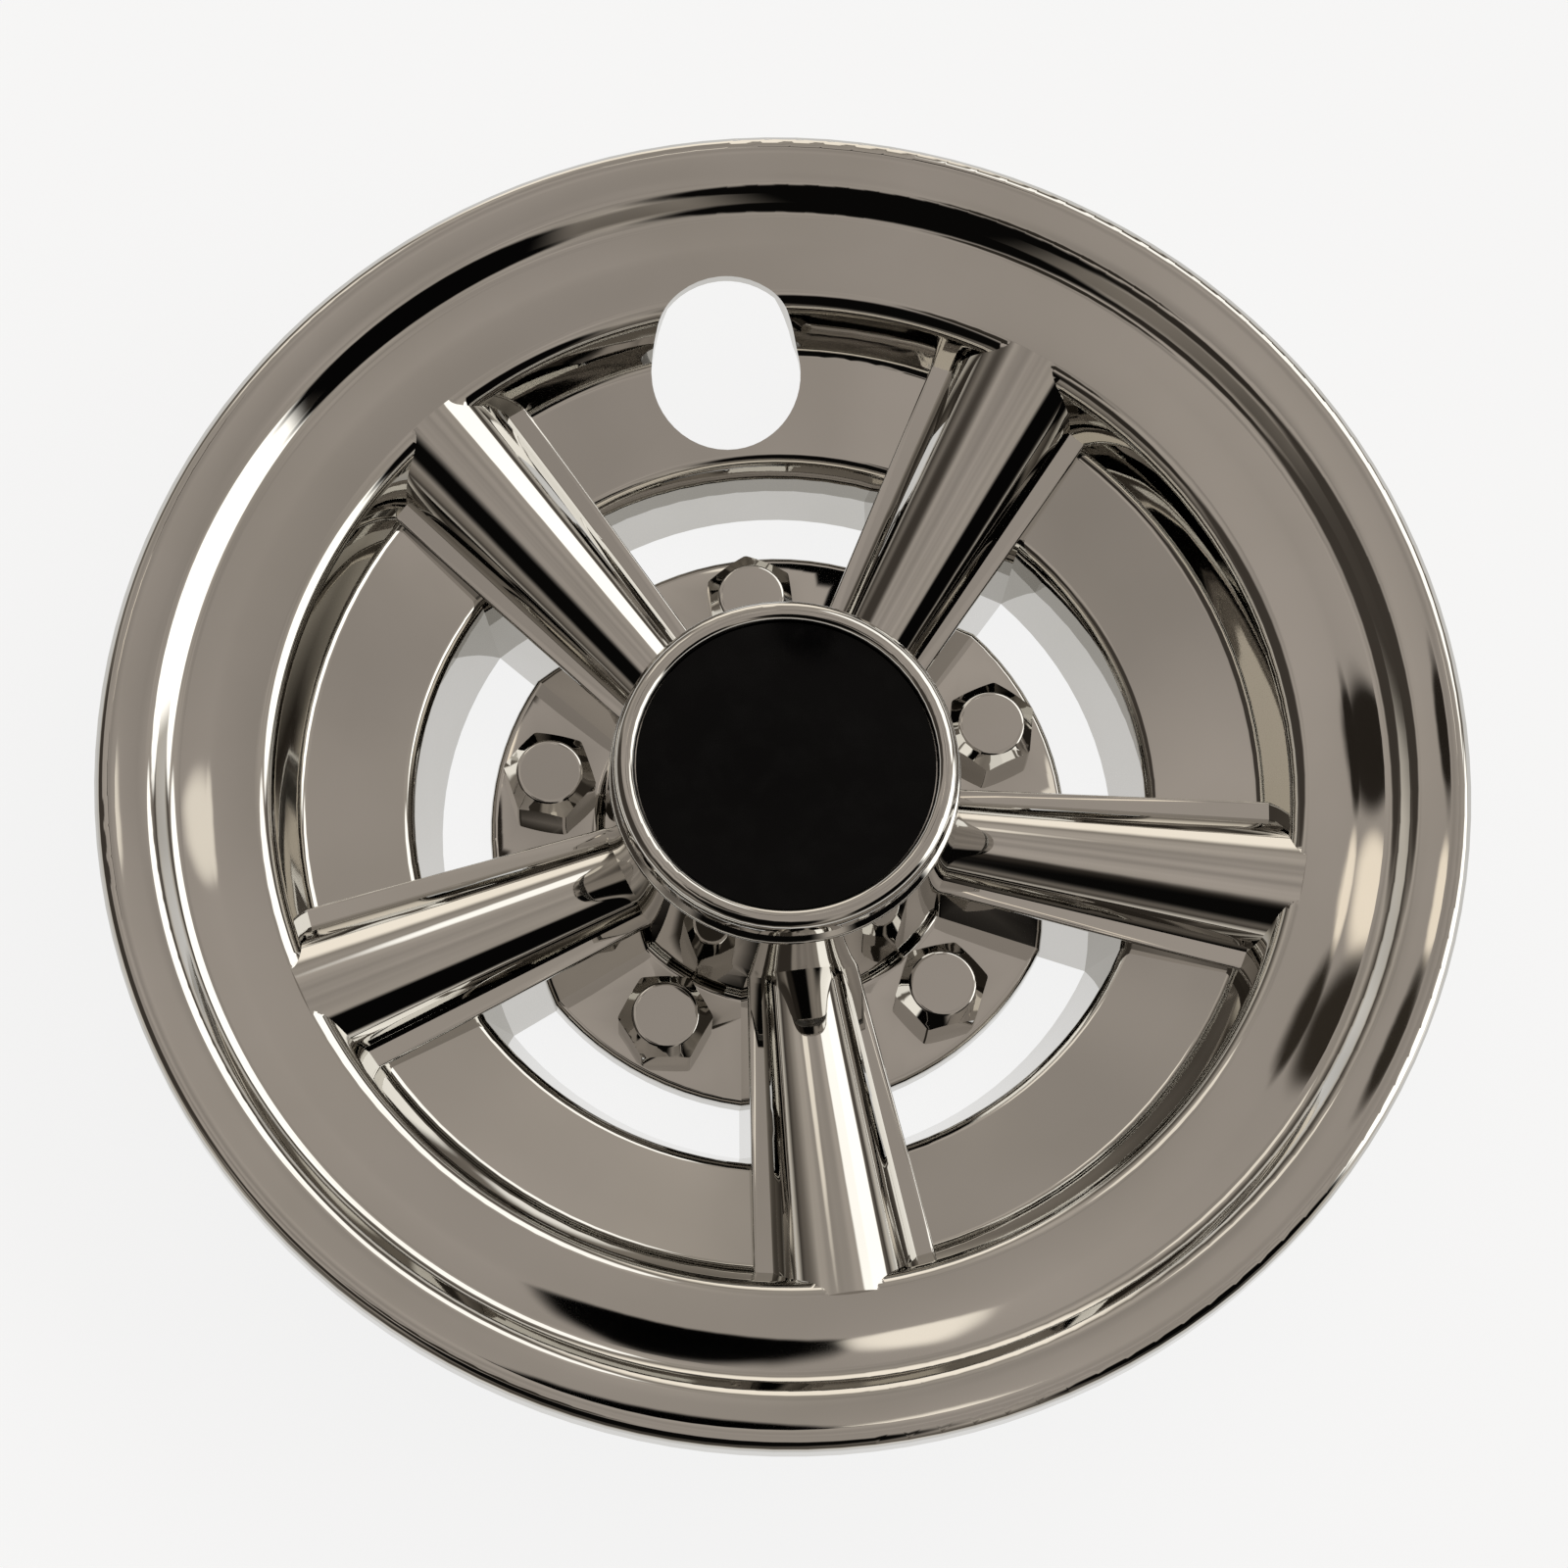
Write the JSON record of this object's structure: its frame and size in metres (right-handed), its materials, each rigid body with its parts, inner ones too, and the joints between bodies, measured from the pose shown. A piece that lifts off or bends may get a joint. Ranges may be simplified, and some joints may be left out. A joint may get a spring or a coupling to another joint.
{
  "type": "wheel cover",
  "caption": "Round chrome-plated wheel cover for a golf cart wheel: stepped rim, deep dish with tapered half-round spokes, imitation lug nuts, valve hole, black hub disc and snap legs behind.",
  "frame": {"origin": "on the wheel axis, in the plane on which the cover lies when it is put down on its back", "axes": "+Z along the wheel axis towards the front of the cover, +Y from the axis towards the valve hole"},
  "size_m": [0.235, 0.235, 0.0425],
  "materials": {
    "chrome_plate": "mirror-bright plating on moulded ABS",
    "black_acrylic": "high gloss",
    "spring_steel": "drawn bright wire"
  },
  "bodies": {
    "root": {"wheel_cover": "chrome_plate", "centre_disc": "black_acrylic", "retaining_wire": "spring_steel"}
  },
  "joints": []
}
